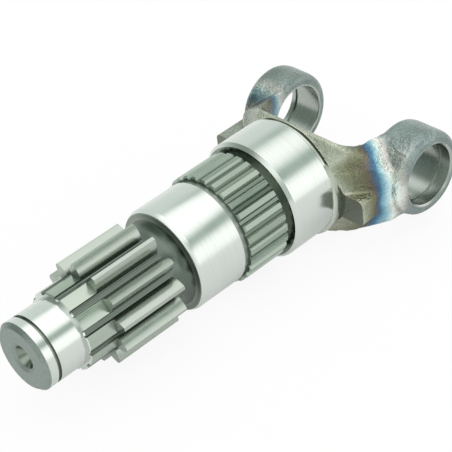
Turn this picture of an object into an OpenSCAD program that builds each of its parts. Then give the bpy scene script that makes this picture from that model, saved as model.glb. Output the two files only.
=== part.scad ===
// Half shaft of a steered drive axle: one forged and machined steel piece.
// A stepped shaft with a pinion, a splined seat and two bearing journals ends in
// a fork whose two ears carry the cross of a universal joint.
// Millimetres. Stations along the shaft are measured from the pilot's end face.
// The origin of the finished part is the joint centre, +X runs along the shaft
// towards the fork and +Y along the bore through the ears.

/* [Pilot] */
// Diameter of the pilot journal at the free end
pilot_d = 39; // [34:0.5:40]
// Length of the pilot, from the end face to the pinion
pilot_len = 25; // [20:0.5:34]
// Chamfer on the end of the pilot
pilot_chamfer = 2.2; // [1:0.1:3]
// Distance from the end face to the retaining ring groove
ring_groove_at = 6.8; // [5:0.1:9]
// Width of the retaining ring groove
ring_groove_w = 2; // [1.3:0.05:2.6]
// Depth of the retaining ring groove
ring_groove_depth = 1.3; // [0.8:0.1:1.8]
// Diameter of the centre drilling
centre_d = 6.3; // [5:0.1:8]
// Diameter where the centre drilling's 60 degree seat begins
centre_seat_d = 13.2; // [10:0.1:15]
// Mouth diameter of the guarding countersink in front of that seat
centre_guard_d = 17.5; // [16:0.5:20]
// Depth of the centre drilling
centre_depth = 16; // [13:1:20]

/* [Pinion] */
// Number of pinion teeth
pinion_teeth = 12; // [11:1:14]
// Module of the pinion
pinion_module = 4; // [3.6:0.05:4.1]
// Profile shift, as a share of the module
pinion_shift = 0.45; // [0.3:0.05:0.5]
// Diameter over the full teeth
pinion_tip_d = 58.8; // [57:0.1:59.2]
// Diameter over the teeth where they are turned down behind the pilot
pinion_land_d = 44.8; // [43.5:0.1:48]
// Length of the turned-down stretch
pinion_land_len = 17.5; // [10:0.5:24]
// Length of the full teeth
pinion_len = 40.6; // [30:0.5:50]
// Length of the neck behind the teeth, up to the middle journal
neck_len = 10.4; // [9:0.2:16]
// Radius of the neck's concave fillet
neck_fillet = 6.5; // [4:0.5:7]

/* [Middle journal] */
// Diameter of the middle journal
mid_d = 60; // [58:0.5:61]
// Length of the middle journal, with its front chamfer
mid_len = 30.6; // [24:0.2:40]
// Length of the middle journal's front chamfer along the shaft
mid_chamfer_len = 2.6; // [1:0.1:4]
// Radial height of the middle journal's front chamfer
mid_chamfer_h = 1.2; // [0.6:0.1:2]

/* [Spline] */
// Number of spline teeth
spline_teeth = 28; // [24:1:32]
// Diameter over the spline teeth
spline_tip_d = 64; // [63.4:0.1:66]
// Diameter in the spline's gaps
spline_root_d = 60; // [58:0.1:61]
// Share of a tooth's pitch taken by its tip land
spline_land = 0.4; // [0.35:0.01:0.45]
// Share of a tooth's pitch taken by the gap's floor
spline_gap = 0.26; // [0.2:0.01:0.3]
// Length of the spline
spline_len = 23.5; // [18:0.5:30]
// Chamfer on both ends of the spline teeth
spline_chamfer = 0.8; // [0.4:0.1:1.2]
// Width of the relief in front of the spline
relief_front_w = 6.6; // [4:0.2:9]
// Width of the relief behind the spline
relief_rear_w = 4; // [3:0.2:7]
// Diameter of both reliefs
relief_d = 58.4; // [54:0.2:59.4]

/* [Main journal] */
// Diameter of the main journal
main_d = 70; // [68:0.5:72]
// Length of the main journal, with its chamfers
main_len = 29.1; // [24:0.2:40]
// Length of the main journal's front chamfer along the shaft
main_chamfer_len = 1.9; // [1:0.1:3]
// Radial height of the main journal's front chamfer
main_chamfer_h = 1.75; // [1:0.05:2.5]
// Chamfer at the rear of the main journal
main_rear_chamfer = 0.8; // [0.4:0.1:1.2]
// Width of the undercut between the main journal and the fork
undercut_w = 3.2; // [2:0.1:4.5]
// Depth of that undercut below the main journal
undercut_depth = 1.8; // [1:0.1:3]

/* [Fork] */
// Radius of the fork's round root where its face is turned flat
root_r = 37.6; // [36.8:0.1:38.5]
// Half height of that root, which is flattened above and below
root_h = 32.8; // [32.2:0.1:34]
// Distance from the fork's turned face to the joint centre
fork_len = 43.3; // [42:0.1:47]
// Gap between the inner faces of the ears
fork_gap = 72; // [70:0.5:74]
// Distance from the shaft's axis to the near ear's outer face
near_ear_out = 61.8; // [58:0.1:64]
// Distance from the shaft's axis to the far ear's outer face
far_ear_out = 58.4; // [57:0.1:64]
// Diameter of the bores in the ears
bore_d = 34.9; // [30:0.1:36]
// Outer radius of an ear about the bore
ear_r = 24.4; // [24.2:0.1:25.5]
// Chamfer round the outer edge of an ear
ear_chamfer = 3; // [2:0.1:4]
// How far an ear's turned face stands out from the arm
ear_proud = 7.6; // [4:0.1:9]
// Distance between the outer walls of the two retaining ring grooves
ring_span = 106.4; // [100:0.1:108]
// Width of the retaining ring grooves in the bores
ear_groove_w = 1.6; // [1.2:0.1:2.2]
// Depth of the retaining ring grooves in the bores
ear_groove_depth = 1.1; // [0.8:0.1:1.6]
// Chamfer at the mouths of the bores
bore_chamfer = 0.9; // [0.4:0.1:1.5]
// Distance from the joint centre to the floor of the fork
throat = 24.4; // [22:0.1:25]
// Radius of the saddle-shaped floor of the fork, seen from the side
saddle_r = 38.6; // [37.4:0.2:44]
// Fillet between the fork's floor and the inner faces of the ears
throat_fillet = 8.5; // [7:0.5:16]
// Half height of the arms at their root
arm_root_h = 32; // [31:0.1:33]
// Half height of the arms halfway
arm_mid_h = 25.2; // [23.5:0.1:26.5]
// Half height of the arms where they run into the ears
arm_end_h = 21.2; // [20:0.1:22]
// Height of the arms' outer side above the shaft's axis
arm_side_up = 12; // [10:0.2:14]
// Depth of the arms' outer side below the shaft's axis
arm_side_down = 20.4; // [18:0.2:21]
// Depth of the hollow in the outer side of an arm
scoop_depth = 3.2; // [1:0.1:3.6]
// Radius of that hollow
scoop_r = 15; // [14:1:22]
// Height of that hollow, as an angle about the shaft
scoop_angle = 27; // [22:1:30]
// Slope of the arms' outer sides against the shaft
arm_slope = 45; // [42:1:48]

/* [Wings] */
// Distance from the shaft's axis to the tip of the near wing
near_wing_reach = 51.6; // [48:0.2:54]
// Distance from the shaft's axis to the tip of the far wing
far_wing_reach = 59.2; // [48:0.2:60]
// Thickness of a wing between its two flat sides
wing_t = 15.8; // [12:0.2:18]
// Height of the wings' upper side above the shaft's axis
wing_top = 2.4; // [0:0.1:4]
// Length of a wing along the shaft
wing_len = 24; // [20:0.5:26]
// Radius of a wing's corners
wing_corner_r = 3; // [2:0.5:6]

/* [Hidden] */

$fn = 96;
over = 1;

// Stations along the shaft
pinion_at = pilot_len;
full_teeth_at = pinion_at + pinion_land_len;
neck_at = full_teeth_at + pinion_len;
mid_at = neck_at + neck_len;
mid_end = mid_at + mid_len;
spline_at = mid_end + relief_front_w;
spline_end = spline_at + spline_len;
main_at = spline_end + relief_rear_w;
main_end = main_at + main_len;
fork_at = main_end + undercut_w;
joint_at = fork_at + fork_len;

// Radii of the turned shaft
pilot_r = pilot_d / 2;
mid_r = mid_d / 2;
main_r = main_d / 2;
relief_r = relief_d / 2;
undercut_r = main_r - undercut_depth;
pinion_tip_r = pinion_tip_d / 2;
pinion_land_r = pinion_land_d / 2;

// Pinion tooth form
pressure_angle = 20;
root_depth = 1.2;
pitch_r = pinion_module * pinion_teeth / 2;
base_r = pitch_r * cos(pressure_angle);
pinion_root_r = pitch_r - (root_depth - pinion_shift) * pinion_module;
tooth_half = 90 / pinion_teeth + pinion_shift * tan(pressure_angle) * 360 / (PI * pinion_teeth);
root_round = 1;
flank_steps = 7;
pinion_turn = 20.8;
pinion_end_chamfer = 0.6;

// Spline tooth form
spline_pitch = 360 / spline_teeth;
spline_turn = 0.4;

// Fork
ear_in = fork_gap / 2;
near_arm_out = near_ear_out - ear_proud;
far_arm_out = far_ear_out - ear_proud;
fork_w = near_ear_out + far_ear_out;
bore_r = bore_d / 2;
root_land = 1.5;
arm_tip_x = -5;
arm_bend = 3.5;
crown_in = ear_in - 16;
crown_bulge = 2;

function involute(r) = let (a = acos(base_r / r)) tan(a) * 180 / PI - a;
function on_circle(r, a) = [r * cos(a), r * sin(a)];
function curve(p, q, s, n) = [for (i = [0 : n]) let (t = i / n)
    (1 - t) * (1 - t) * p + 2 * t * (1 - t) * q + t * t * s];

// Half angle of a pinion tooth at radius r
function tooth_at(r) = tooth_half + involute(pitch_r) - (r > base_r ? involute(r) : 0);

// Radius between low and high at which both flanks of a tooth would meet
function point_r(low, high, n) = let (r = (low + high) / 2)
    n == 0 ? low : tooth_at(r) > 0 ? point_r(r, high, n - 1) : point_r(low, r, n - 1);

// One side of a pinion tooth, from the gap's floor out past the tip or to a point
function flank() = let (
        foot = base_r + 0.01,
        foot_half = tooth_at(foot),
        turn = root_round * 180 / (PI * pinion_root_r),
        end = min(pinion_tip_r + over, point_r(pitch_r, 2 * pitch_r, 20))
    )
    concat(
        [[pinion_root_r, foot_half + turn], [pinion_root_r + 0.3 * root_round, foot_half + 0.3 * turn],
         [pinion_root_r + root_round, foot_half]],
        [for (i = [0 : flank_steps]) let (r = foot + (end - foot) * i / flank_steps) [r, tooth_at(r)]]
    );

module pinion_section() {
    side = flank();
    last = len(side) - 1;
    polygon([for (k = [0 : pinion_teeth - 1]) let (mid = k * 360 / pinion_teeth)
        each concat(
            [for (i = [0 : last]) on_circle(side[i][0], mid - side[i][1])],
            [for (i = [last : -1 : 0]) on_circle(side[i][0], mid + side[i][1])]
        )]);
}

module spline_section() {
    tip = spline_tip_d / 2;
    root = spline_root_d / 2;
    land = spline_pitch * spline_land / 2;
    foot = spline_pitch * (1 - spline_gap) / 2;
    polygon([for (k = [0 : spline_teeth - 1]) let (mid = k * spline_pitch)
        each [on_circle(root, mid - foot), on_circle(tip, mid - land),
              on_circle(tip, mid + land), on_circle(root, mid + foot)]]);
}

// Lays a shape that stands on Z along the shaft, from the given station
module along_shaft(at = 0) {
    translate([at, 0, 0]) rotate([0, 90, 0]) children();
}

// Lays a shape that stands on Z along the bore axis
module along_bore() {
    rotate([-90, 0, 0]) children();
}

// Turned blank of the shaft, up to the face of the fork
module turned_shaft() {
    core_r = pinion_root_r;
    arc = [for (i = [0 : 8]) let (a = 90 * i / 8)
        [core_r + neck_fillet * (1 - cos(a)), mid_at - neck_fillet * (1 - sin(a))]];
    along_shaft() rotate_extrude() polygon(concat(
        [[0, 0], [pilot_r - pilot_chamfer, 0], [pilot_r, pilot_chamfer],
         [pilot_r, ring_groove_at], [pilot_r - ring_groove_depth, ring_groove_at],
         [pilot_r - ring_groove_depth, ring_groove_at + ring_groove_w],
         [pilot_r, ring_groove_at + ring_groove_w], [pilot_r, pinion_at + over],
         [core_r, pinion_at + over]],
        arc,
        [[mid_r - mid_chamfer_h, mid_at], [mid_r, mid_at + mid_chamfer_len], [mid_r, mid_end],
         [relief_r, mid_end], [relief_r, main_at],
         [main_r - main_chamfer_h, main_at], [main_r, main_at + main_chamfer_len],
         [main_r, main_end - main_rear_chamfer], [main_r - main_rear_chamfer, main_end],
         [undercut_r, main_end], [undercut_r, fork_at + root_land], [0, fork_at + root_land]]
    ));
}

// Pinion teeth, turned down over their first stretch
module pinion() {
    intersection() {
        along_shaft(pinion_at) rotate([0, 0, pinion_turn]) linear_extrude(neck_at - pinion_at) pinion_section();
        along_shaft() rotate_extrude() polygon([
            [0, pinion_at], [pinion_land_r - pinion_end_chamfer, pinion_at],
            [pinion_land_r, pinion_at + pinion_end_chamfer], [pinion_land_r, full_teeth_at],
            [pinion_tip_r, full_teeth_at], [pinion_tip_r, neck_at], [0, neck_at]
        ]);
    }
}

// Spline teeth with chamfered ends
module spline() {
    tip = spline_tip_d / 2;
    intersection() {
        along_shaft(spline_at) rotate([0, 0, spline_turn]) linear_extrude(spline_len) spline_section();
        along_shaft() rotate_extrude() polygon([
            [0, spline_at], [tip - spline_chamfer, spline_at], [tip, spline_at + spline_chamfer],
            [tip, spline_end - spline_chamfer], [tip - spline_chamfer, spline_end], [0, spline_end]
        ]);
    }
}

// Cone that the outer sides of both arms follow, from the root out to the ears
module arm_cone() {
    reach = 2 * fork_w;
    rise = reach - root_r;
    along_shaft(-fork_len) cylinder(r1 = root_r, r2 = reach, h = rise / tan(arm_slope));
}

// The arms seen from the side: high at the root and lowest where they meet the ears
module fork_side() {
    bend_x = -throat - arm_bend;
    bend_h = 2 * arm_mid_h - (arm_root_h + arm_end_h) / 2;
    top = curve([-fork_len, arm_root_h], [bend_x, bend_h], [arm_tip_x, arm_end_h], 10);
    polygon(concat(top, [for (i = [len(top) - 1 : -1 : 0]) [top[i][0], -top[i][1]]]));
}

// One quarter of the arms seen along the shaft, from the crown out to a side of height side_h
function crown(out, side_h) = curve([crown_in, root_h],
    [(crown_in + out) / 2, (arm_root_h + side_h) / 2 + crown_bulge], [out, side_h], 8);

// The arms seen along the shaft: crowned, and lower towards the outside
module fork_section() {
    near_up = [for (p = crown(near_arm_out, arm_side_up)) [-p[0], p[1]]];
    near_down = [for (p = crown(near_arm_out, arm_side_down)) [-p[0], -p[1]]];
    far_up = crown(far_arm_out, arm_side_up);
    far_down = [for (p = crown(far_arm_out, arm_side_down)) [p[0], -p[1]]];
    last = len(far_up) - 1;
    polygon(concat(
        [for (i = [last : -1 : 0]) near_up[i]], far_up,
        [for (i = [last : -1 : 0]) far_down[i]], near_down
    ));
}

// Space for the cross between the ears: a saddle-shaped floor and round corners
module throat_space() {
    far = saddle_r + throat + fork_len;
    corner = ear_in - throat_fillet;
    translate([-throat - saddle_r, 0, 0]) along_bore() rotate_extrude() difference() {
        translate([saddle_r, -ear_in]) square([far, fork_gap]);
        for (side = [-1, 1]) difference() {
            translate([saddle_r - over, side > 0 ? corner : -ear_in - over])
                square([throat_fillet + over, throat_fillet + over]);
            translate([saddle_r + throat_fillet, side * corner]) circle(throat_fillet);
        }
    }
}

// One ear, turned about the bore, with chamfered edges
module ear(out) {
    along_bore() rotate_extrude() polygon([
        [0, ear_in], [ear_r - ear_chamfer, ear_in], [ear_r, ear_in + ear_chamfer],
        [ear_r, out - ear_chamfer], [ear_r - ear_chamfer, out], [0, out]
    ]);
}

// Hollow along the outer side of an arm, above the wing
module arm_scoop() {
    rotate([scoop_angle, 0, 0]) translate([-fork_len, root_r, 0]) rotate([0, 0, arm_slope])
        translate([0, scoop_r - scoop_depth, 0]) along_shaft() cylinder(r = scoop_r, h = 4 * ear_r, center = true);
}

// Wing: a flat lug with rounded corners beside the root, turned flat in front
module wing(reach) {
    low = wing_top - wing_t;
    corner = wing_corner_r;
    translate([-fork_len, 0, 0]) rotate([90, 0, 90]) linear_extrude(wing_len) {
        translate([0, low]) square([reach - corner, wing_t]);
        translate([0, low + corner]) square([reach, wing_t - 2 * corner]);
        for (z = [low + corner, wing_top - corner]) translate([reach - corner, z]) circle(corner);
    }
}

// Round root behind the turned face, flattened above and below
module fork_root() {
    intersection() {
        along_shaft(-fork_len) cylinder(r = root_r, h = root_land);
        translate([-fork_len - over, -root_r - over, -root_h]) cube([root_land + 2 * over, 2 * (root_r + over), 2 * root_h]);
    }
}

// Both arms: crowned, waisted and flared like a cone towards the ears
module arms() {
    width = near_arm_out + far_arm_out;
    intersection() {
        arm_cone();
        translate([0, far_arm_out, 0]) rotate([90, 0, 0]) linear_extrude(width) fork_side();
        translate([-fork_len - over, 0, 0]) rotate([90, 0, 90]) linear_extrude(2 * fork_len) fork_section();
    }
}

// Bores, mouth chamfers and retaining ring grooves through both ears
module ear_bores() {
    along_bore() {
        cylinder(r = bore_r, h = 3 * fork_w, center = true);
        for (side = [-1, 1])
            translate([0, 0, side * (ring_span + ear_groove_w) / 2])
                cylinder(r = bore_r + ear_groove_depth, h = ear_groove_w, center = true);
        translate([0, 0, far_ear_out - bore_chamfer])
            cylinder(r1 = bore_r, r2 = bore_r + bore_chamfer + over, h = bore_chamfer + over);
        translate([0, 0, -near_ear_out - over])
            cylinder(r1 = bore_r + bore_chamfer + over, r2 = bore_r, h = bore_chamfer + over);
    }
}

module fork() {
    difference() {
        union() {
            fork_root();
            arms();
            wing(far_wing_reach);
            mirror([0, 1, 0]) wing(near_wing_reach);
            ear(far_ear_out);
            mirror([0, 1, 0]) ear(near_ear_out);
        }
        throat_space();
        arm_scoop();
        mirror([0, 1, 0]) arm_scoop();
        ear_bores();
    }
}

// Centre drilling in the pilot's end face
module centre_drilling() {
    guard = (centre_guard_d - centre_seat_d) / 2 * tan(30);
    seat = (centre_seat_d - centre_d) / 2 * tan(60);
    along_shaft() rotate_extrude() polygon([
        [0, -over], [centre_guard_d / 2, -over], [centre_guard_d / 2, 0], [centre_seat_d / 2, guard],
        [centre_d / 2, guard + seat], [centre_d / 2, centre_depth], [0, centre_depth + centre_d / 4]
    ]);
}

module half_shaft() {
    color("silver") {
        translate([-joint_at, 0, 0]) difference() {
            union() {
                turned_shaft();
                pinion();
                spline();
            }
            centre_drilling();
        }
        fork();
    }
}

half_shaft();
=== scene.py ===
import bmesh
import bpy
import math
from mathutils import Matrix, Vector


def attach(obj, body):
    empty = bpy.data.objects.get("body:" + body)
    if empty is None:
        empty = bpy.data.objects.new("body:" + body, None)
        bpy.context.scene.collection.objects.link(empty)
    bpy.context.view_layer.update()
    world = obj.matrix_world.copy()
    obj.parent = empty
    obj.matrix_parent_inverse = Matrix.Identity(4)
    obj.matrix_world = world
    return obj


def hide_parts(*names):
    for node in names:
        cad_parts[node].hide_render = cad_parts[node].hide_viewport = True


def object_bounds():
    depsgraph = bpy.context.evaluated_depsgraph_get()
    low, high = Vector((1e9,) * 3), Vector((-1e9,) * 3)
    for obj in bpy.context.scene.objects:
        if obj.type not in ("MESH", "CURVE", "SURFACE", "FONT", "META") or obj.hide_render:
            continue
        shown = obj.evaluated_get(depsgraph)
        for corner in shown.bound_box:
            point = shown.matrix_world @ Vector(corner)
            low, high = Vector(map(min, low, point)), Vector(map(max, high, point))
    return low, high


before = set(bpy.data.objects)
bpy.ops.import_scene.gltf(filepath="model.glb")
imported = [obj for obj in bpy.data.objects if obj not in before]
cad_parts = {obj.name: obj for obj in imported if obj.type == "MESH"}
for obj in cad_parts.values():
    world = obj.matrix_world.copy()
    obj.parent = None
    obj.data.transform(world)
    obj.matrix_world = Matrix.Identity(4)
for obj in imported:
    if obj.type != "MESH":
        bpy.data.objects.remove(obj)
cad_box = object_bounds()

# Turned shaft
# The machined half of the forging: pilot, pinion, splined seat and two journals.
# Its journals are ground bright, its teeth are left as hobbed, and its
# grooves, neck and end face keep the duller finish of the lathe.

SHAFT_AXIS = (1, 0, 0)
SHAFT_STEPS = 192
CREASE = math.radians(28)
SAME_POINT = 2e-6
ON_PLANE = 1e-7

# Where the finely spun neck takes over from the solid, and the middle journal's sizes.
NECK_FROM = -0.1495
NECK_TO = -0.1085
NECK_R = 0.021
NECK_FILLET = 0.0065
NECK_FILLET_X = -0.1468
MIDDLE_R = 0.03
MIDDLE_TO = -0.1097
RELIEF_R = 0.0292

# Where the ends of the spline lie in the solid, and how much longer they are drawn.
SPLINE_FRONT = (-0.1032, -0.1022)
SPLINE_FRONT_MORE = 0.0034
SPLINE_REAR = (-0.0805, -0.0795)
SPLINE_REAR_MORE = 0.0006

# The face behind the main journal, and the gap that keeps the two pieces apart there.
FORK_FACE = -0.0433
SEAM = 0.00002

# The collar in the undercut: it shows below COLLAR_TOP and is full COLLAR_FADE lower.
COLLAR_FROM = -0.0479
COLLAR_TO = -0.0432
COLLAR_R = 0.03665
COLLAR_FILLET = 0.0011
COLLAR_LOW = 0.033
COLLAR_FLAT = -0.0345
COLLAR_TOP = 0.021
COLLAR_FADE = 0.020


class Shade:
    """A shader socket that takes part in sums and makes the nodes it needs."""

    # Where a Mix node has its two colours and its mixed colour.
    MIX_FIRST, MIX_SECOND, MIX_RESULT = 6, 7, 2

    def __init__(self, tree, socket=None):
        self.tree = tree
        self.socket = socket

    def make(self, kind, settings=None, inputs=None, out=0):
        """Makes a node: first its settings, then the values or links of its sockets."""
        node = self.tree.nodes.new(kind)
        for name, value in (settings or {}).items():
            if name == "stops":
                ramp = node.color_ramp
                while len(ramp.elements) < len(value):
                    ramp.elements.new(0.5)
                for element, (place, colour) in zip(ramp.elements, value):
                    element.position = place
                    element.color = (*colour, 1)
            else:
                setattr(node, name, value)
        for name, value in (inputs or {}).items():
            if isinstance(value, Shade):
                self.tree.links.new(value.socket, node.inputs[name])
            else:
                node.inputs[name].default_value = value
        return Shade(self.tree, node.outputs[out] if node.outputs else None)

    def math(self, operation, *values):
        return self.make("ShaderNodeMath", {"operation": operation}, dict(enumerate(values)))

    def __add__(self, other):
        return self.math("ADD", self, other)

    def __radd__(self, other):
        return self.math("ADD", other, self)

    def __sub__(self, other):
        return self.math("SUBTRACT", self, other)

    def __rsub__(self, other):
        return self.math("SUBTRACT", other, self)

    def __mul__(self, other):
        return self.math("MULTIPLY", self, other)

    def __rmul__(self, other):
        return self.math("MULTIPLY", other, self)

    def square_root(self):
        return self.math("SQRT", self)

    def or_larger(self, other):
        return self.math("MAXIMUM", self, other)

    def parts(self):
        """The x, y and z of this vector."""
        node = self.make("ShaderNodeSeparateXYZ", {}, {"Vector": self}).socket.node
        return [Shade(self.tree, socket) for socket in node.outputs]

    def step(self, low, high, start=0.0, end=1.0):
        """start below low, end above high and a smooth change between them."""
        return self.make(
            "ShaderNodeMapRange", {"interpolation_type": "SMOOTHSTEP"},
            {"Value": self, "From Min": low, "From Max": high, "To Min": start, "To Max": end})

    def spread(self, start=0.0, end=1.0):
        """start to end over the values that a noise has most often."""
        return self.step(0.3, 0.7, start, end)

    def ramp(self, stops):
        """The colour of a ramp of (place, colour) stops at this value."""
        return self.make("ShaderNodeValToRGB", {"stops": stops}, {"Fac": self})

    def blend(self, first, second):
        """Mixes two colours, sockets or plain ones, with this socket as the factor."""
        first, second = (
            colour if isinstance(colour, Shade) else (*colour, 1) for colour in (first, second))
        return self.make(
            "ShaderNodeMix", {"data_type": "RGBA"},
            {"Factor": self, self.MIX_FIRST: first, self.MIX_SECOND: second}, self.MIX_RESULT)

    def times(self, colour):
        """This colour multiplied by another."""
        return self.make(
            "ShaderNodeMix", {"data_type": "RGBA", "blend_type": "MULTIPLY"},
            {"Factor": 1.0, self.MIX_FIRST: self, self.MIX_SECOND: colour}, self.MIX_RESULT)

    def noise(self, scale, detail=2.0, rough=0.5):
        return self.make(
            "ShaderNodeTexNoise", {},
            {"Vector": self, "Scale": scale, "Detail": detail, "Roughness": rough})

    def tool_lines(self, scale):
        """Fine lines: a noise that is dense where scale is large and drawn out where small."""
        stretched = self.make("ShaderNodeMapping", {}, {"Vector": self, "Scale": scale})
        return stretched.noise(scale=1.0, detail=3.0, rough=0.6)

    def bump(self, strength, distance, under=None):
        """A normal raised by this height, on top of another bump if one is given."""
        inputs = {"Height": self, "Strength": strength, "Distance": distance}
        if under is not None:
            inputs["Normal"] = under
        return self.make("ShaderNodeBump", {}, inputs)


def new_steel(name):
    """A bare metal material, with the object's coordinates and its shader."""
    material = bpy.data.materials.new(name)
    material.use_nodes = True
    shader = material.node_tree.nodes["Principled BSDF"]
    shader.inputs["Metallic"].default_value = 1.0
    place = Shade(material.node_tree).make("ShaderNodeTexCoord", out="Object")
    return material, place, shader


def feed(shader, values):
    """Links what changes over the surface to the shader's sockets."""
    for name, value in values.items():
        value.tree.links.new(value.socket, shader.inputs[name])


def lined(lines, colour, dull):
    """A colour that drops to its dull share in the tool lines."""
    return lines.spread().blend([part * dull for part in colour], colour)


def lathe_steel(name, colour, roughness, spread, line_scale, line_height):
    """Steel with fine tool lines that run round the shaft."""
    material, place, shader = new_steel(name)
    lines = place.tool_lines((line_scale, 25, 25))
    cloud = place.noise(scale=38.0, detail=3.0)
    feed(shader, {
        "Base Color": lined(lines, colour, 0.92),
        "Roughness": cloud.step(0.35, 0.7, roughness - spread, roughness + spread),
        "Normal": lines.bump(0.35, line_height)})
    return material


def faced_steel():
    """The end face, turned across: rings round the shaft's axis on dull steel."""
    material, place, shader = new_steel("faced_steel")
    rings = place.make(
        "ShaderNodeTexWave",
        {"wave_type": "RINGS", "rings_direction": "X"},
        {"Vector": place, "Scale": 260.0, "Distortion": 1.2, "Detail": 2.0})
    grain = place.noise(scale=1400.0)
    feed(shader, {
        "Base Color": grain.spread().blend((0.25, 0.295, 0.275), (0.33, 0.375, 0.355)),
        "Roughness": rings.step(0.2, 0.8, 0.40, 0.48),
        "Normal": rings.bump(0.25, 0.00002)})
    return material


def toothed_steel(name, flank, shadow, floor, tip):
    """Hobbed steel of colour flank from radius tip, with painted shade of colour shadow at
    radius floor.
    """
    material, place, shader = new_steel(name)
    _, y, z = place.parts()
    depth = (y * y + z * z).square_root().step(floor, tip)
    lines = place.tool_lines((90, 1500, 1500))
    feed(shader, {
        "Base Color": depth.blend(shadow, lined(lines, flank, 0.9)),
        "Roughness": lines.spread(0.20, 0.30),
        "Normal": lines.bump(0.3, 0.00001)})
    return material


def corner_steel(name, bright_to, dark_from, dark):
    """Turned steel painted bright beside the journal as a highlight, and darker behind it."""
    material, place, shader = new_steel(name)
    x, _, _ = place.parts()
    grain = place.noise(scale=900.0, detail=3.0)
    highlight_steel = grain.spread().blend((0.60, 0.64, 0.58), (0.68, 0.72, 0.66))
    feed(shader, {
        "Base Color": x.step(bright_to, dark_from).blend(highlight_steel, dark),
        "Roughness": grain.spread(0.24, 0.34)})
    return material


GROUND = lathe_steel("ground_steel", (0.69, 0.72, 0.69), 0.20, 0.03, 5200, 0.000003)
TURNED = lathe_steel("turned_steel", (0.26, 0.295, 0.255), 0.20, 0.04, 2600, 0.00001)
NECK = lathe_steel("neck_steel", (0.14, 0.17, 0.145), 0.28, 0.04, 2600, 0.00001)
FACE = lathe_steel("face_steel", (0.33, 0.37, 0.33), 0.46, 0.04, 2600, 0.00001)
# Each second colour below is painted shade, deep in the gaps between the teeth.
TOOTHED = toothed_steel(
    "toothed_steel", (0.43, 0.475, 0.42), (0.13, 0.155, 0.13), floor=0.0208, tip=0.0256)
LAND = toothed_steel(
    "land_steel", (0.44, 0.50, 0.43), (0.10, 0.125, 0.10), floor=0.0205, tip=0.0215)
SPLINED = toothed_steel(
    "splined_steel", (0.35, 0.41, 0.35), (0.19, 0.23, 0.19), floor=0.0300, tip=0.0309)
FACED = faced_steel()
# The undercut turns near black behind the journal's edge, as painted shade in the corner; the
# collar turns only to its own grey.
UNDERCUT = corner_steel("undercut_steel", -0.0449, -0.0443, (0.07, 0.075, 0.06))
COLLAR = corner_steel("collar_steel", -0.0468, -0.0463, (0.36, 0.385, 0.33))
SHAFT_STEELS = [GROUND, TURNED, TOOTHED, LAND, SPLINED, FACED, UNDERCUT, NECK, FACE, COLLAR]

# Which faces of the shaft have which finish. A row gives the stretch along the shaft and the
# radii, both in mm, and the slope of the faces, from 0 for a wall along the shaft to 1 for a
# face square to it. The first row that holds a face counts, and the rest is turned steel.
BEYOND = 40
ANY_RADIUS = (-1, BEYOND)
ANY_SLOPE = (-1, 2)
WALLS = (-1, 0.8)
ENDS = (0.45, 2)
SHAFT_FINISHES = [
    (UNDERCUT, (-46.5, 0), (33, BEYOND), ANY_SLOPE),
    (FACED, (-240, -231.5), (6.7, BEYOND), ENDS),
    (FACE, (-109.8, -106.55), (-1, 29.9), ANY_SLOPE),
    (GROUND, (-208.9, -207.7), (-1, 22.3), ANY_SLOPE),
    (NECK, (-150.6, -139.9), (-1, 25.5), ANY_SLOPE),
    (FACE, (-150.6, -139.9), (25.5, 28.9), ANY_SLOPE),
    (GROUND, (-240, -208.8), (19.2, BEYOND), WALLS),
    (GROUND, (-140.1, -109.7), (28.85, BEYOND), WALLS),
    (GROUND, (-75.6, -46.5), (33.1, BEYOND), WALLS),
    (LAND, (-208.9, -191.4), ANY_RADIUS, ANY_SLOPE),
    (TOOTHED, (-191.4, -150.6), ANY_RADIUS, ANY_SLOPE),
    (SPLINED, (-106.55, -78.9), ANY_RADIUS, ANY_SLOPE),
]


def copy_of_node():
    """A merged copy of the CAD node, in metres."""
    mesh = bmesh.new()
    mesh.from_mesh(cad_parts["half_shaft"].data)
    bmesh.ops.remove_doubles(mesh, verts=mesh.verts, dist=SAME_POINT)
    return mesh


def spun(profile, axis, steps):
    """A closed solid spun round the shaft's axis or a bore's, from (radius, place) points."""
    mesh = bmesh.new()
    points = [mesh.verts.new((place, radius, 0) if axis == SHAFT_AXIS else (radius, place, 0))
              for radius, place in profile]
    edges = [mesh.edges.new(pair) for pair in zip(points, points[1:])]
    bmesh.ops.spin(
        mesh, geom=points + edges, axis=axis, cent=(0, 0, 0), angle=math.tau, steps=steps,
        use_merge=True)
    bmesh.ops.remove_doubles(mesh, verts=mesh.verts, dist=ON_PLANE)
    bmesh.ops.recalc_face_normals(mesh, faces=mesh.faces)
    return mesh


def hollow(centre_r, centre_x, size, step):
    """A concave quarter circle for a profile, a point every step degrees."""
    angles = [math.radians(angle) for angle in range(0, 91, step)]
    return [(centre_r - size * math.cos(angle), centre_x + size * math.sin(angle))
            for angle in angles]


def add_mesh(mesh, extra):
    """Puts one bmesh into another and frees it."""
    data = bpy.data.meshes.new("extra")
    extra.to_mesh(data)
    extra.free()
    mesh.from_mesh(data)
    bpy.data.meshes.remove(data)


def cut(mesh, plane_x, keep_fork_side):
    """Keeps what lies on one side of a plane across the shaft and closes the cut."""
    result = bmesh.ops.bisect_plane(
        mesh, geom=mesh.verts[:] + mesh.edges[:] + mesh.faces[:], dist=ON_PLANE,
        plane_co=(plane_x, 0, 0), plane_no=SHAFT_AXIS,
        clear_outer=not keep_fork_side, clear_inner=keep_fork_side)
    rim = [part for part in result["geom_cut"] if isinstance(part, bmesh.types.BMEdge)]
    return bmesh.ops.holes_fill(mesh, edges=rim, sides=0)["faces"]


def as_object(mesh, name):
    """Makes an object of a bmesh and frees it."""
    data = bpy.data.meshes.new(name)
    mesh.to_mesh(data)
    mesh.free()
    thing = bpy.data.objects.new(name, data)
    bpy.context.scene.collection.objects.link(thing)
    return thing


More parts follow.
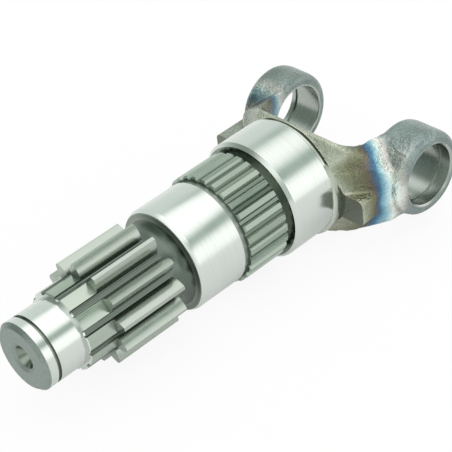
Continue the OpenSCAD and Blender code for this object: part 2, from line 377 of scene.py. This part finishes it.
def finish_piece(mesh, name, materials):
    """Makes a piece of a bmesh, smooth but for its sharp creases."""
    for face in mesh.faces:
        face.smooth = True
    for edge in mesh.edges:
        edge.smooth = not (edge.is_manifold and edge.calc_face_angle(0) > CREASE)
    piece = as_object(mesh, name)
    for material in materials:
        piece.data.materials.append(material)
    return piece


def shaft_finish(face):
    """Which of the shaft's steels a face has."""
    centre = face.calc_center_median()
    place = (centre.x * 1000, math.hypot(centre.y, centre.z) * 1000, abs(face.normal.x))
    for steel, *ranges in SHAFT_FINISHES:
        if all(low < value < high for value, (low, high) in zip(place, ranges)):
            return SHAFT_STEELS.index(steel)
    return SHAFT_STEELS.index(TURNED)


def lengthen_spline(point):
    """Moves the two ends of the spline outwards."""
    if SPLINE_FRONT[0] < point.x < SPLINE_FRONT[1]:
        point.x -= SPLINE_FRONT_MORE
    elif SPLINE_REAR[0] < point.x < SPLINE_REAR[1]:
        point.x += SPLINE_REAR_MORE


def under_side(z):
    """1 on the lower side of the shaft, 0 along its top, and a gradual change between."""
    return min(max((COLLAR_TOP - z) / COLLAR_FADE, 0), 1)


def draw_in_collar(point):
    """Sinks the collar into the undercut's floor on top and flattens it at the bottom."""
    radius = math.hypot(point.y, point.z)
    if radius > COLLAR_LOW:
        shown = COLLAR_LOW + (radius - COLLAR_LOW) * under_side(point.z)
        point.y *= shown / radius
        point.z = max(point.z * shown / radius, COLLAR_FLAT)


shaft_mesh = copy_of_node()
cut(shaft_mesh, NECK_FROM, keep_fork_side=False)
rear_mesh = copy_of_node()
cut(rear_mesh, NECK_TO, keep_fork_side=True)
cut(rear_mesh, FORK_FACE - SEAM, keep_fork_side=False)
for point in rear_mesh.verts:
    lengthen_spline(point.co)
add_mesh(shaft_mesh, rear_mesh)
neck_profile = [
    (0, NECK_FROM), (NECK_R, NECK_FROM),
    *hollow(NECK_R + NECK_FILLET, NECK_FILLET_X, NECK_FILLET, 5),
    (0.02845, -0.1403), (0.02868, -0.14024), (0.02886, -0.14006), (0.02896, -0.13982),
    (0.02994, -0.13778), (MIDDLE_R, -0.1373), (MIDDLE_R, MIDDLE_TO),
    (RELIEF_R, MIDDLE_TO), (RELIEF_R, NECK_TO), (0, NECK_TO)]
add_mesh(shaft_mesh, spun(neck_profile, SHAFT_AXIS, SHAFT_STEPS))
for face in shaft_mesh.faces:
    face.material_index = shaft_finish(face)
collar_profile = [
    (0, COLLAR_FROM), (0.0345, COLLAR_FROM),
    *hollow(0.03608, COLLAR_FROM, COLLAR_FILLET, 10),
    (0.03635, -0.04674), (0.03655, -0.0466), (COLLAR_R, -0.0464), (COLLAR_R, COLLAR_TO),
    (0, COLLAR_TO)]
collar_mesh = spun(collar_profile, SHAFT_AXIS, SHAFT_STEPS)
for point in collar_mesh.verts:
    draw_in_collar(point.co)
bmesh.ops.remove_doubles(collar_mesh, verts=collar_mesh.verts, dist=SAME_POINT)
for face in collar_mesh.faces:
    face.material_index = SHAFT_STEELS.index(COLLAR)
add_mesh(shaft_mesh, collar_mesh)
shaft = finish_piece(shaft_mesh, "turned_shaft", SHAFT_STEELS)
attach(shaft, "root")
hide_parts("half_shaft")

# Forged fork
# The hammered end of the same forging: two arms, two wings and two ears.
# Its skin is blasted and tinted by the heat of hardening, and only the face
# behind the journal and the bores are machined.

# How finely the skin is laid, how often it is smoothed all over, on the arms and at last,
# and how far the blank reaches past the journal's face meanwhile, so that its rim stays sharp.
VOXEL = 0.0007
EDGE_PASSES = 5
ARM_PASSES = 24
LAST_PASSES = 3
BACK = 0.005

# The bores: each ear's side and outer face, the ring groove, the chamfers, and how far the
# boring bar reaches past the ear. Plugs fill the bores while the skin is laid and smoothed.
BORE_AXIS = (0, 1, 0)
BORE_STEPS = 144
BORE_R = 0.01745
EARS = ((-1, 0.0618), (1, 0.0584))
EAR_R = 0.0244
EAR_IN = 0.036
PLUG_R = BORE_R + 0.0012
RING_OUT = 0.0532
RING_W = 0.0016
RING_R = BORE_R + 0.0011
MOUTH = 0.0009
INNER_MOUTH = 0.0004
CLEAR = 0.002
WALL_SLACK = 0.00005
EAR_SLACK = 0.001
FACES_AWAY = -0.2

# The round rim at the journal: its radius, how much more below, how it widens away from the
# journal, and the height at which the wings interrupt it.
RIM_R = 0.0332
RIM_UNDER = 0.0024
RIM_TAPER = 1.4
RIM_LEN = 0.0062
RIM_BLEND = 0.005
WING_Z = -0.0055
WING_HALF = 0.009

# The outer sides of the arms, which are smoothed more: above and below the wings, past the
# rim, outside one width at the root and another along the arm, and short of the round ears.
WING_ZONE = (-0.0155, 0.0045)
SIDE_FROM = -0.0408
ROOT_TO = -0.0378
ROOT_OUT = 0.027
ARM_OUT = 0.0375
EAR_EDGE = EAR_R - 0.0005

# The heat tint's colours along the fork, from the journal on. The ramp is one unit long,
# and TINT_SCALE units make a metre. Inside the near arm and along the far arm, the skin turns
# towards UNTINTED.
# The stop at 0.27 is darker than the tint alone, as painted shade in the arm's hollow, and the
# cream stops at 0.65 and 0.74 are lighter, partly as a painted highlight.
HEAT_TINT = [
    (0.0, (0.48, 0.50, 0.41)), (0.12, (0.32, 0.33, 0.23)), (0.27, (0.19, 0.19, 0.12)),
    (0.35, (0.17, 0.14, 0.105)), (0.41, (0.10, 0.145, 0.22)), (0.47, (0.09, 0.235, 0.37)),
    (0.57, (0.46, 0.70, 0.78)), (0.65, (0.84, 0.90, 0.84)), (0.74, (0.64, 0.62, 0.58)),
    (0.85, (0.31, 0.355, 0.345)), (1.0, (0.25, 0.305, 0.295))]
TINT_SCALE = 33.0
UNTINTED = (0.21, 0.245, 0.225)


def baked(thing):
    """A bmesh of the object with its modifiers applied; the object itself goes."""
    view = bpy.context.evaluated_depsgraph_get()
    mesh = bmesh.new()
    mesh.from_object(thing, view)
    bpy.data.objects.remove(thing)
    return mesh


def skinned(mesh):
    """The mesh with one even skin laid over all its shells."""
    blank = as_object(mesh, "blank")
    remesh = blank.modifiers.new("remesh", "REMESH")
    remesh.mode = "VOXEL"
    remesh.voxel_size = VOXEL
    return baked(blank)


def bored(mesh, tool):
    """The mesh with a boring bar's shape cut out of it."""
    blank = as_object(mesh, "blank")
    bar = as_object(tool, "boring_bar")
    hole = blank.modifiers.new("bore", "BOOLEAN")
    hole.operation = "DIFFERENCE"
    hole.solver = "MANIFOLD"
    hole.object = bar
    mesh = baked(blank)
    bpy.data.objects.remove(bar)
    return mesh


def draw_in_rim(point):
    """Tapers the fork's round rim down to the journal, but not where a wing stands."""
    from_wing = min(max((abs(point.z - WING_Z) - WING_HALF) / RIM_BLEND, 0), 1)
    radius = math.hypot(point.y, point.z)
    limit = RIM_R + RIM_UNDER * under_side(point.z) + RIM_TAPER * max(point.x - FORK_FACE, 0)
    if point.x < FORK_FACE + RIM_LEN and radius > limit:
        shrink = 1 - from_wing * (1 - limit / radius)
        point.y *= shrink
        point.z *= shrink


def on_arm_side(point):
    """Whether a point lies on the outer side of an arm, above or below its wing."""
    beside_wing = point.z > WING_ZONE[1] or point.z < WING_ZONE[0]
    outside = abs(point.y) > ARM_OUT or (abs(point.y) > ROOT_OUT and point.x < ROOT_TO)
    return (beside_wing and outside and point.x > SIDE_FROM
            and math.hypot(point.x, point.z) > EAR_EDGE)


def soften(mesh, passes, points):
    """Smooths the given points of a mesh a number of times."""
    for _ in range(passes):
        bmesh.ops.smooth_vert(
            mesh, verts=points, factor=0.5, use_axis_x=True, use_axis_y=True, use_axis_z=True)


def forged_steel():
    """Blasted forging skin: straw near the journal, then blue and cream, then plain grey, with
    painted shade and highlight in some stops.
    """
    material, place, shader = new_steel("forged_steel")
    x, y, z = place.parts()
    wander = (place.noise(scale=90.0, detail=3.0) - 0.5) * 0.006
    later_on_top = z.step(0.014, 0.024, 0.0, 0.0075)
    later_on_far_arm = y.step(-0.02, 0.02, 0.0, 0.0105)
    heat = x - later_on_top.or_larger(later_on_far_arm) + wander
    tint = ((heat - FORK_FACE) * TINT_SCALE).ramp(HEAT_TINT)
    inside_near_arm = (y.step(-0.0375, -0.0355, 0.0, 0.85) * y.step(0.0, 0.02, 1.0, 0.0)
                       * x.step(-0.0335, -0.0300))
    faint = inside_near_arm + y.step(0.02, 0.045, 0.0, 0.6)
    grain = place.noise(scale=900.0, detail=3.0, rough=0.6)
    pits = place.noise(scale=420.0)
    cloud = place.noise(scale=75.0, detail=4.0)
    shade = grain.spread(0.0, 0.4) + cloud.step(0.35, 0.65, 0.0, 0.6)
    speckle = shade.blend((0.72, 0.72, 0.72), (1.14, 1.14, 1.14))
    feed(shader, {
        "Base Color": faint.blend(tint, UNTINTED).times(speckle),
        "Roughness": grain.spread(0.17, 0.30),
        "Normal": grain.bump(0.8, 0.0004, pits.bump(0.8, 0.0009))})
    return material


def bored_steel():
    """Honed wall of the bores, with tool lines round the bore axis."""
    material, place, shader = new_steel("bored_steel")
    lines = place.tool_lines((25, 3000, 25))
    feed(shader, {
        "Base Color": lines.spread().blend((0.36, 0.39, 0.36), (0.46, 0.49, 0.46)),
        "Roughness": lines.spread(0.20, 0.30),
        "Normal": lines.bump(0.4, 0.00001)})
    return material


FORGED = forged_steel()
BORED = bored_steel()
# The shoulder's steel is darker than the forging, partly as painted shade for the dark ground
# under the shaft that the face mirrors.
SHOULDER = lathe_steel("shoulder_steel", (0.19, 0.205, 0.165), 0.17, 0.04, 40, 0.00001)
FORK_STEELS = [FORGED, BORED, SHOULDER]


def fork_finish(face):
    """Which of the fork's steels a face has: shoulder at the journal, bored wall or forged."""
    centre = face.calc_center_median()
    inward = Vector((-centre.x, 0, -centre.z)).normalized()
    in_bore = math.hypot(centre.x, centre.z) < RING_R + WALL_SLACK
    in_ear = abs(centre.y) > EAR_IN - EAR_SLACK
    if centre.x < FORK_FACE + SEAM:
        steel = SHOULDER
    elif in_bore and in_ear and face.normal.dot(inward) > FACES_AWAY:
        steel = BORED
    else:
        steel = FORGED
    return FORK_STEELS.index(steel)


blank_mesh = copy_of_node()
cap = cut(blank_mesh, FORK_FACE + SEAM / 2, keep_fork_side=True)
grown = bmesh.ops.extrude_face_region(blank_mesh, geom=cap)["geom"]
pulled = [part for part in grown if isinstance(part, bmesh.types.BMVert)]
bmesh.ops.translate(blank_mesh, verts=pulled, vec=(-BACK, 0, 0))
bmesh.ops.delete(blank_mesh, geom=cap, context="FACES")
for side, out in EARS:
    plug = [(0, side * EAR_IN), (PLUG_R, side * EAR_IN), (PLUG_R, side * out), (0, side * out)]
    add_mesh(blank_mesh, spun(plug, BORE_AXIS, BORE_STEPS))
fork_mesh = skinned(blank_mesh)
for point in fork_mesh.verts:
    draw_in_rim(point.co)
soften(fork_mesh, EDGE_PASSES, fork_mesh.verts)
soften(fork_mesh, ARM_PASSES, [point for point in fork_mesh.verts if on_arm_side(point.co)])
soften(fork_mesh, LAST_PASSES, fork_mesh.verts)
cut(fork_mesh, FORK_FACE, keep_fork_side=True)
for side, out in EARS:
    bar_profile = [
        (0, EAR_IN - CLEAR), (BORE_R + CLEAR, EAR_IN - CLEAR), (BORE_R, EAR_IN + INNER_MOUTH),
        (BORE_R, RING_OUT), (RING_R, RING_OUT),
        (RING_R, RING_OUT + RING_W), (BORE_R, RING_OUT + RING_W),
        (BORE_R, out - MOUTH), (BORE_R + MOUTH + CLEAR, out + CLEAR), (0, out + CLEAR)]
    bar_profile = [(radius, side * place) for radius, place in bar_profile]
    fork_mesh = bored(fork_mesh, spun(bar_profile, BORE_AXIS, BORE_STEPS))
for face in fork_mesh.faces:
    face.material_index = fork_finish(face)
fork = finish_piece(fork_mesh, "forged_fork", FORK_STEELS)
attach(fork, "root")
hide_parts("half_shaft")

# Studio
# A plain white floor in a room of soft light. The room is bright overhead and low
# in front, with a grey gap between, which the round journals mirror as a band.

FLOOR_SIZE = 3.0
FLOOR_WHITE = (0.9, 0.9, 0.9, 1)
FLOOR_GLOW = 0.9
FLOOR_IN_METAL = 0.38
WHITE = (1, 1, 1, 1)

# The colours of the walls, from the floor up to straight overhead.
RIGHT_WALL = [
    (0.0, (1.35, 1.4, 1.37)), (0.08, (1.4, 1.45, 1.4)), (0.2, (1.5, 1.5, 1.5)),
    (0.38, (1.5, 1.5, 1.5)), (0.50, (1.2, 1.25, 1.2)), (0.565, (0.45, 0.55, 0.49)),
    (0.71, (0.42, 0.53, 0.47)), (0.79, (1.3, 1.35, 1.3)), (0.86, (1.6, 1.6, 1.6))]
LEFT_WALL = [
    (0.0, (0.9, 0.97, 0.92)), (0.6, (0.82, 0.9, 0.86)), (0.78, (0.9, 1.0, 0.95)),
    (0.9, (1.5, 1.5, 1.5))]


def empty_tree(owner):
    """Clears the nodes of a material or a world, to make others there."""
    owner.use_nodes = True
    owner.node_tree.nodes.clear()
    return Shade(owner.node_tree)


floor_mesh = bmesh.new()
bmesh.ops.create_grid(floor_mesh, x_segments=2, y_segments=2, size=FLOOR_SIZE)
bmesh.ops.translate(floor_mesh, verts=floor_mesh.verts, vec=(0, 0, cad_box[0][2]))
floor = as_object(floor_mesh, "floor")

paper = bpy.data.materials.new("white_paper")
maker = empty_tree(paper)
camera_ray = maker.make("ShaderNodeLightPath", out="Is Camera Ray")
glossy_ray = maker.make("ShaderNodeLightPath", out="Is Glossy Ray")
glowing = (camera_ray + glossy_ray * FLOOR_IN_METAL) * FLOOR_GLOW
diffuse = maker.make("ShaderNodeBsdfDiffuse", {}, {"Color": FLOOR_WHITE})
glow = maker.make("ShaderNodeEmission", {}, {"Color": WHITE, "Strength": 1.0})
mixed = maker.make("ShaderNodeMixShader", {}, {0: glowing, 1: diffuse, 2: glow})
maker.make("ShaderNodeOutputMaterial", {}, {"Surface": mixed})
floor.data.materials.append(paper)

world = bpy.data.worlds.new("studio")
bpy.context.scene.world = world
maker = empty_tree(world)
dx, dy, dz = maker.make("ShaderNodeTexCoord", out="Generated").parts()
walls = dy.step(0.4, 0.7).blend(dz.ramp(RIGHT_WALL), dz.ramp(LEFT_WALL))
behind_right = dz.step(0.35, 0.6).blend((0.62, 0.70, 0.64), (1.3, 1.35, 1.3))
behind = dy.step(-0.1, 0.5).blend(behind_right, (0.28, 0.34, 0.30))
room = dx.step(-0.5, 0.0).blend(behind, walls)
light = maker.make("ShaderNodeBackground", {}, {"Color": room, "Strength": 1.0})
backdrop = maker.make("ShaderNodeBackground", {}, {"Color": WHITE, "Strength": 1.0})
camera_ray = maker.make("ShaderNodeLightPath", out="Is Camera Ray")
mixed = maker.make("ShaderNodeMixShader", {}, {0: camera_ray, 1: light, 2: backdrop})
maker.make("ShaderNodeOutputWorld", {}, {"Surface": mixed})

# Camera
# It looks down along the shaft towards the fork from beyond the pilot end,
# from the side of the near ear, with a long lens.

LENS_MM = 128.38
SENSOR_MM = 36
STAND = (-0.52944, -0.52752, 0.51256)
RIGHT = Vector((0.70874, -0.69615, -0.11430))
UP = Vector((0.49038, 0.36967, 0.78922))

camera_data = bpy.data.cameras.new("camera")
camera_data.sensor_width = SENSOR_MM
camera_data.lens = LENS_MM
camera_data.clip_start = 0.01
camera = bpy.data.objects.new("camera", camera_data)
bpy.context.scene.collection.objects.link(camera)
turn = Matrix((RIGHT, UP, RIGHT.cross(UP))).transposed()
camera.matrix_world = Matrix.Translation(STAND) @ turn.to_4x4()
bpy.context.scene.camera = camera
bpy.context.scene.view_settings.view_transform = "Standard"
